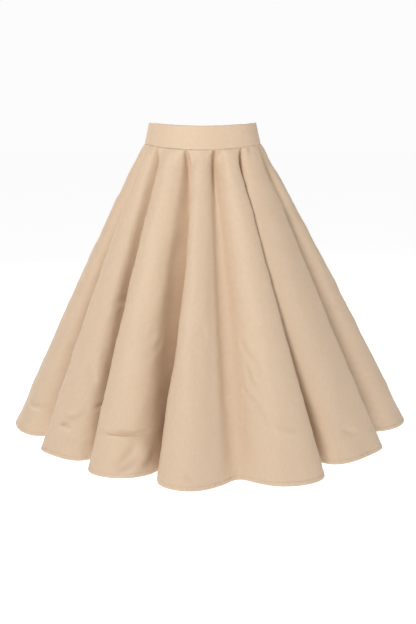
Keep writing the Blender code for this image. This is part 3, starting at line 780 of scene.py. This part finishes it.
def allowance(name, seam_turn, first_level, made_of):
    """The two edges of a seam down the skirt, pressed open inside it, which also close its gap."""
    levels = np.linspace(first_level, ALLOWANCE_END_LEVEL, ALLOWANCE_ROWS)
    across = np.linspace(-ALLOWANCE, ALLOWANCE, ALLOWANCE_COLUMNS)
    turns = seam_turn + across[None, :] / speed_along(seam_turn, levels)[:, None]
    groove = ALLOWANCE_EDGE * np.exp(-(across / EDGE_REACH) ** 2)[None, :]
    depth = SKIRT_CLOTH + SEAM_GAP + groove
    return cloth_shell(name, turns, levels, depth, depth + ALLOWANCE_CLOTH, made_of)


def coil_row(name, side, made_of):
    """One half of the zip's teeth: a wire coiled round, down the inside of the centre back."""
    path_levels = np.linspace(ZIP_TOP_LEVEL, ZIP_END_LEVEL, COIL_PATH_POINTS)
    path = smooth_points(CENTRE_BACK, path_levels)
    length = np.concatenate([[0.0], np.cumsum(np.linalg.norm(np.diff(path, axis=0), axis=1))])
    loops = int(length[-1] / COIL_PITCH)
    spots = np.linspace(0.0, length[-1], loops * COIL_STEPS)
    levels = np.interp(spots, length, path_levels)
    phase = 2 * math.pi * spots / COIL_PITCH + (math.pi if side > 0 else 0.0)
    across = side * COIL_MIDDLE + COIL_REACH * np.cos(phase)
    turns = CENTRE_BACK + across / speed_along(CENTRE_BACK, levels)
    normals = smooth_normals(turns, levels)
    depth = under_wall(levels) + COIL_OUT + COIL_WIRE + COIL_OUT * np.sin(phase)
    centres = smooth_points(turns, levels) - normals * depth[:, None]
    return tube(name, centres, COIL_WIRE, COIL_SIDES, made_of, slot="zip_tape_cloth")


def tube(name, centres, radius, sides, made_of, **piece_words):
    """A closed round tube along a row of points."""
    run = np.gradient(centres, axis=0)
    run /= np.linalg.norm(run, axis=1, keepdims=True)
    side = np.cross(run, (0.0, 1.0, 0.0))
    side /= np.linalg.norm(side, axis=1, keepdims=True)
    other = np.cross(run, side)
    angles = 2 * math.pi * np.arange(sides) / sides
    rings = (centres[:, None] + radius * (side[:, None] * np.cos(angles)[None, :, None]
                                          + other[:, None] * np.sin(angles)[None, :, None]))
    grid = np.arange(len(centres) * sides).reshape(len(centres), sides)
    ahead = np.roll(grid, -1, axis=1)
    quads = np.stack([grid[:-1], ahead[:-1], ahead[1:], grid[1:]], axis=-1).reshape(-1, 4).tolist()
    faces = quads + [tuple(grid[0][::-1]), tuple(grid[-1])]
    return piece_of(name, rings.reshape(-1, 3), faces, None, made_of, **piece_words)


# Materials
def new_material(name):
    made = bpy.data.materials.new(name)
    made.use_nodes = True
    return made, made.node_tree, made.node_tree.nodes["Principled BSDF"]


def set_values(node, **values):
    for name, value in values.items():
        node.inputs[name.replace("_", " ")].default_value = value


def add_node(tree, kind, **values):
    node = tree.nodes.new(kind)
    set_values(node, **values)
    return node


def shade_ramp(tree, shader, factor, colour, shades):
    """Colours a piece from a darker to a lighter shade of its colour."""
    ramp = tree.nodes.new("ShaderNodeValToRGB")
    for element, shade in zip(ramp.color_ramp.elements, shades):
        element.color = (*(channel * shade for channel in colour), 1.0)
    tree.links.new(factor, ramp.inputs["Fac"])
    tree.links.new(ramp.outputs["Color"], shader.inputs["Base Color"])
    return ramp


def weave_height(tree, places, thread_pitch):
    """Crossed threads, as the sum of a wave along each way of the cloth."""
    wave_scale = 2 * math.pi / (WAVE_NODE_FACTOR * thread_pitch)
    weave = tree.nodes.new("ShaderNodeMath")
    weave.operation = "ADD"
    for k, direction in enumerate("XY"):
        wave = add_node(tree, "ShaderNodeTexWave", Scale=wave_scale, Distortion=0.6, Detail=1.0)
        wave.bands_direction = direction
        tree.links.new(places, wave.inputs["Vector"])
        tree.links.new(wave.outputs["Fac"], weave.inputs[k])
    return weave.outputs["Value"]


def woven_material(name, colour, roughness, sheen, thread_pitch):
    """Woven cloth: crossed threads as a fine bump, slubs and soft mottling in the colour."""
    made, tree, shader = new_material(name)
    set_values(shader, Roughness=roughness, Specular_IOR_Level=CLOTH_SPECULAR, Sheen_Weight=sheen,
               Sheen_Roughness=SHEEN_ROUGHNESS, Sheen_Tint=SHEEN_TINT)
    flat_cut = tree.nodes.new("ShaderNodeUVMap")
    flat_cut.uv_map = "flat_cut"
    places = flat_cut.outputs["UV"]
    slub_place = add_node(tree, "ShaderNodeMapping", Scale=SLUB_SCALE)
    tree.links.new(places, slub_place.inputs["Vector"])
    slub = add_node(tree, "ShaderNodeTexNoise", Scale=1.0, Detail=3.0, Roughness=0.6)
    tree.links.new(slub_place.outputs["Vector"], slub.inputs["Vector"])
    cloud = add_node(tree, "ShaderNodeTexNoise", Scale=CLOUD_SCALE, Detail=4.0, Roughness=0.55)
    tree.links.new(places, cloud.inputs["Vector"])
    mottling = tree.nodes.new("ShaderNodeMath")
    mottling.operation = "MULTIPLY_ADD"
    mottling.inputs[1].default_value = SLUB_SHARE
    tree.links.new(slub.outputs["Fac"], mottling.inputs[0])
    tree.links.new(cloud.outputs["Fac"], mottling.inputs[2])
    ramp = shade_ramp(tree, shader, mottling.outputs["Value"], colour, CLOTH_SHADES)
    for element, position in zip(ramp.color_ramp.elements, SHADE_RANGE):
        element.position = position
    soft = add_node(tree, "ShaderNodeBump", **SOFT_BUMP)
    tree.links.new(cloud.outputs["Fac"], soft.inputs["Height"])
    fine = add_node(tree, "ShaderNodeBump", **WEAVE_BUMP)
    tree.links.new(weave_height(tree, places, thread_pitch), fine.inputs["Height"])
    tree.links.new(soft.outputs["Normal"], fine.inputs["Normal"])
    tree.links.new(fine.outputs["Normal"], shader.inputs["Normal"])
    return made


def grain(tree, scale, detail):
    """Fine noise that is fixed to the piece."""
    place = tree.nodes.new("ShaderNodeTexCoord")
    noise = add_node(tree, "ShaderNodeTexNoise", Scale=scale, Detail=detail)
    tree.links.new(place.outputs["Object"], noise.inputs["Vector"])
    return noise.outputs["Fac"]


def thread_material():
    made, tree, shader = new_material("sewing_thread")
    set_values(shader, Roughness=0.5, Sheen_Weight=0.2)
    shade_ramp(tree, shader, grain(tree, THREAD_GRAIN, 2.0), THREAD_COLOUR, THREAD_SHADES)
    return made


def metal_material():
    """Painted metal with a faint orange peel and rubbed specks."""
    made, tree, shader = new_material("painted_metal_detail")
    set_values(shader, Metallic=0.3, Coat_Weight=0.4, Coat_Roughness=0.2)
    specks = grain(tree, METAL_GRAIN, 3.0)
    shade_ramp(tree, shader, specks, METAL_COLOUR, METAL_SHADES)
    gloss = add_node(tree, "ShaderNodeMapRange", To_Min=METAL_ROUGHNESS[0], To_Max=METAL_ROUGHNESS[1])
    tree.links.new(specks, gloss.inputs["Value"])
    tree.links.new(gloss.outputs["Result"], shader.inputs["Roughness"])
    peel = add_node(tree, "ShaderNodeBump", **METAL_BUMP)
    tree.links.new(specks, peel.inputs["Height"])
    tree.links.new(peel.outputs["Normal"], shader.inputs["Normal"])
    return made


# Stage
def glow_along(tree, coordinates, axis, target, start, end, at_start, at_end):
    """Lets a light's strength change smoothly between two places along one axis."""
    place = tree.nodes.new("ShaderNodeTexCoord")
    split = tree.nodes.new("ShaderNodeSeparateXYZ")
    tree.links.new(place.outputs[coordinates], split.inputs["Vector"])
    change = add_node(tree, "ShaderNodeMapRange", From_Min=start, From_Max=end,
                      To_Min=at_start, To_Max=at_end)
    change.interpolation_type = "SMOOTHSTEP"
    tree.links.new(split.outputs[axis], change.inputs["Value"])
    tree.links.new(change.outputs["Result"], target)


def add_floor():
    mesh = bmesh.new()
    bmesh.ops.create_grid(mesh, x_segments=1, y_segments=1, size=FLOOR_SIZE / 2)
    data = bpy.data.meshes.new("floor")
    mesh.to_mesh(data)
    mesh.free()
    made, tree, shader = new_material("floor_paper")
    set_values(shader, Base_Color=(*FLOOR_COLOUR, 1.0), Roughness=FLOOR_ROUGHNESS, Specular_IOR_Level=0.0,
               Emission_Color=WHITE)
    glow_along(tree, "Object", "Y", shader.inputs["Emission Strength"],
               GLOW_END, GLOW_START, FRONT_GLOW, FLOOR_GLOW)
    data.materials.append(made)
    item = bpy.data.objects.new("floor", data)
    item.location = (0.0, 0.0, FLOOR_LEVEL)
    bpy.context.scene.collection.objects.link(item)


def add_camera_and_light():
    scene = bpy.context.scene
    lens = bpy.data.cameras.new("camera")
    lens.lens = CAMERA_LENS
    camera = bpy.data.objects.new("camera", lens)
    camera.location = CAMERA_PLACE
    camera.rotation_euler = (math.radians(90 - CAMERA_PITCH_DEG), 0.0, 0.0)
    scene.collection.objects.link(camera)
    scene.camera = camera
    for name, place, size, power in LIGHT_ROWS:
        lamp = bpy.data.lights.new(name, "AREA")
        lamp.energy = power
        lamp.size = size
        holder = bpy.data.objects.new(name, lamp)
        holder.location = place
        holder.rotation_euler = (Vector(LIGHT_AIM) - Vector(place)).to_track_quat("-Z", "Y").to_euler()
        scene.collection.objects.link(holder)
    scene.world = studio_world()
    scene.view_settings.view_transform = "Standard"


def studio_world():
    """Pale walls all round, and a dimmer ceiling, so that the key light models the folds."""
    world = bpy.data.worlds.new("studio")
    world.use_nodes = True
    background = world.node_tree.nodes["Background"]
    background.inputs["Color"].default_value = WHITE
    glow_along(world.node_tree, "Generated", "Z", background.inputs["Strength"],
               SWEEP_TOP, CEILING_START, SWEEP_STRENGTH, CEILING_STRENGTH)
    return world


CLOTH = woven_material("skirt_cloth_detail", CLOTH_COLOUR, CLOTH_ROUGHNESS, CLOTH_SHEEN,
                       CLOTH_THREAD_PITCH)
TAPE = woven_material("zip_tape_detail", TAPE_COLOUR, TAPE_ROUGHNESS, TAPE_SHEEN, TAPE_THREAD_PITCH)
THREAD = thread_material()
METAL = metal_material()

skirt_panel("cloth_front", "skirt_front", RIGHT_SIDE, LEFT_SIDE, FRONT_COLUMNS, CLOTH)
skirt_panel("cloth_back_left", "skirt_back_left", LEFT_SIDE, CENTRE_BACK,
            FRONT_COLUMNS // 2, CLOTH)
skirt_panel("cloth_back_right", "skirt_back_right", CENTRE_BACK, RIGHT_SIDE_AGAIN,
            FRONT_COLUMNS // 2, CLOTH)
band_piece("band_front", "waistband_front", RIGHT_SIDE, LEFT_SIDE, CLOTH)
band_piece("band_back_left", "waistband_back_left", LEFT_SIDE, CENTRE_BACK, CLOTH)
band_piece("band_back_right", "waistband_back_right", CENTRE_BACK, RIGHT_SIDE_AGAIN, CLOTH)

allowance("allowance_side_right", RIGHT_SIDE, ALLOWANCE_TOP_LEVEL, CLOTH)
allowance("allowance_side_left", LEFT_SIDE, ALLOWANCE_TOP_LEVEL, CLOTH)
allowance("allowance_centre_back", CENTRE_BACK, ALLOWANCE_ZIP_LEVEL, CLOTH)

for row_name, row_side in (("coil_left", -1), ("coil_right", 1)):
    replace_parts(coil_row(row_name, row_side, THREAD), "zip_coil")

for node_name in ("zip_slider", "zip_pull_tab", "zip_bottom_stop"):
    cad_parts[node_name].material_slots[0].material = METAL
for node_name in ("zip_tape_left", "zip_tape_right"):
    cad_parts[node_name].material_slots[0].material = TAPE

add_floor()
add_camera_and_light()
